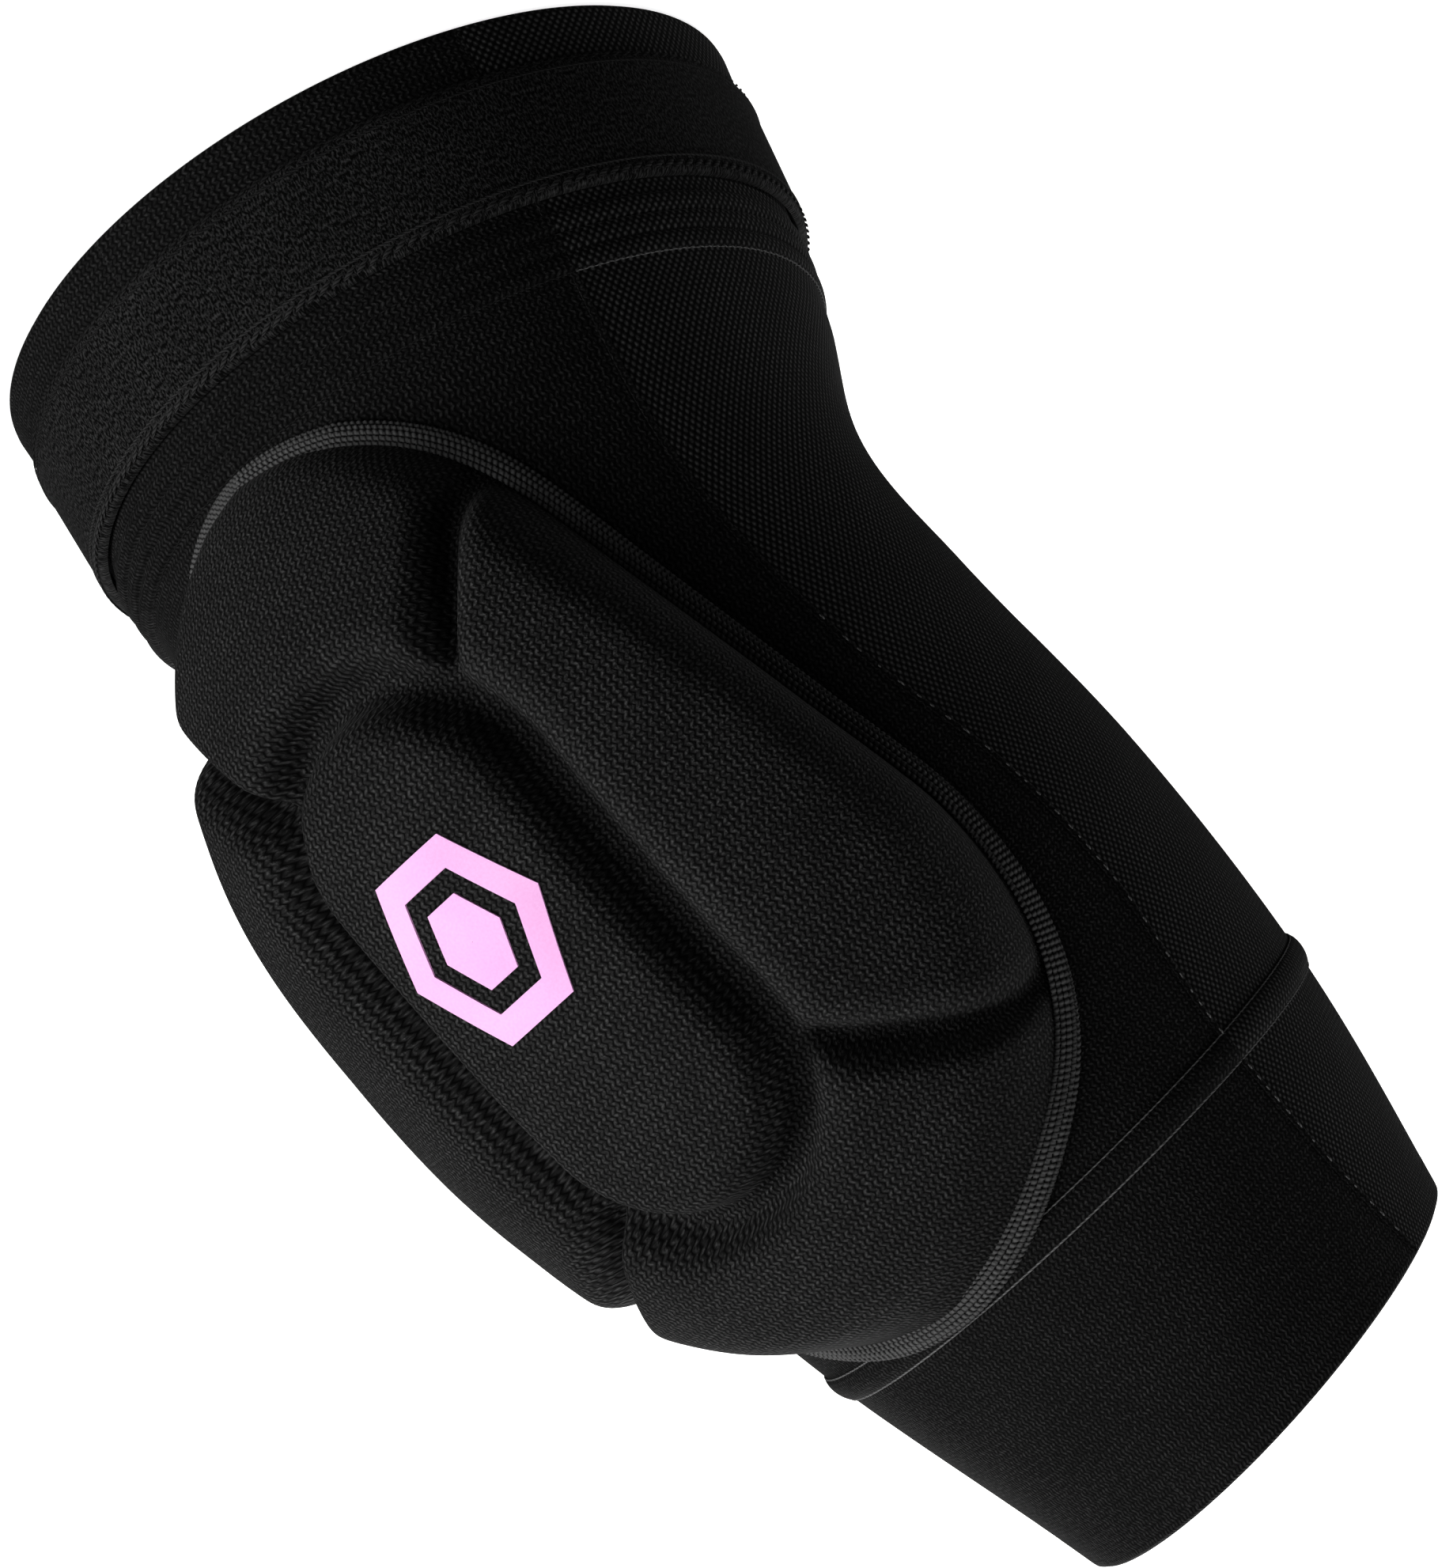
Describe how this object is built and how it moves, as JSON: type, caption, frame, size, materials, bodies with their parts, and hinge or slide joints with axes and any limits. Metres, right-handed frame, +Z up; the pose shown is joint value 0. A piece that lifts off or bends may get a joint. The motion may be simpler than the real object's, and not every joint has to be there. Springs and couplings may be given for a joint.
{
  "type": "elbow pad",
  "caption": "Bent knitted elbow sleeve with an elastic upper-arm strap and a moulded foam elbow pad under a stitched cover.",
  "frame": {"origin": "centre of the upper-arm rim, on the plane that the rim rests on", "axes": "+Z up along the upper-arm half of the sleeve, +Y towards the side that the forearm bends to, so the pad faces -Y and the elbow turns about X"},
  "size_m": [0.1088, 0.1489, 0.1988],
  "materials": {
    "sleeve_knit": "matte fine zigzag knit",
    "mesh_knit": "matte knit with rows of small open stitches",
    "strap_elastic": "brushed woven elastic",
    "seam_thread": "raised stitches",
    "welt_rib": "dense ribbed knit",
    "pad_cover_knit": "stretch zigzag knit moulded over foam",
    "piping_braid": "tight cross stitches over cords",
    "emblem_print": "soft rubbery print",
    "moulded_foam": "closed-cell moulded foam"
  },
  "bodies": {
    "upper_sleeve": {"top_hem_band": "sleeve_knit", "elastic_strap": "strap_elastic", "strap_upper_stitching": "seam_thread", "strap_lower_stitching": "seam_thread", "upper_ring_band": "welt_rib", "upper_outer_panel": "sleeve_knit", "upper_inner_panel": "mesh_knit", "upper_left_seam": "seam_thread", "upper_right_seam": "seam_thread", "upper_end_foam": "moulded_foam", "dome_tip_foam": "moulded_foam", "left_bolster_tip_foam": "moulded_foam", "right_bolster_tip_foam": "moulded_foam", "upper_pad_base": "moulded_foam", "upper_bolster_cover": "pad_cover_knit", "upper_piping": "piping_braid", "elbow_crook_panel": "mesh_knit"},
    "forearm_sleeve": {"cuff_inner_panel": "mesh_knit", "cuff_left_seam": "seam_thread", "cuff_outer_panel": "sleeve_knit", "cuff_right_seam": "seam_thread", "dome_cover": "pad_cover_knit", "dome_emblem": "emblem_print", "dome_foam": "moulded_foam", "forearm_bolster_cover": "pad_cover_knit", "forearm_inner_panel": "mesh_knit", "forearm_left_seam": "seam_thread", "forearm_outer_panel": "sleeve_knit", "forearm_pad_base": "moulded_foam", "forearm_piping": "piping_braid", "forearm_right_seam": "seam_thread", "left_bolster_foam": "moulded_foam", "lower_end_foam": "moulded_foam", "lower_hem_band": "sleeve_knit", "lower_ring_band": "welt_rib", "right_bolster_foam": "moulded_foam"}
  },
  "joints": [
    {"name": "elbow_flex", "type": "hinge", "parent": "upper_sleeve", "child": "forearm_sleeve", "pos_m": [0, -0.0042, 0.07409], "axis": [-1, 0, 0], "range_deg": [-10, 50], "stiffness_Nm_per_rad": 2, "deforming": ["elbow_crook_panel"]}
  ]
}
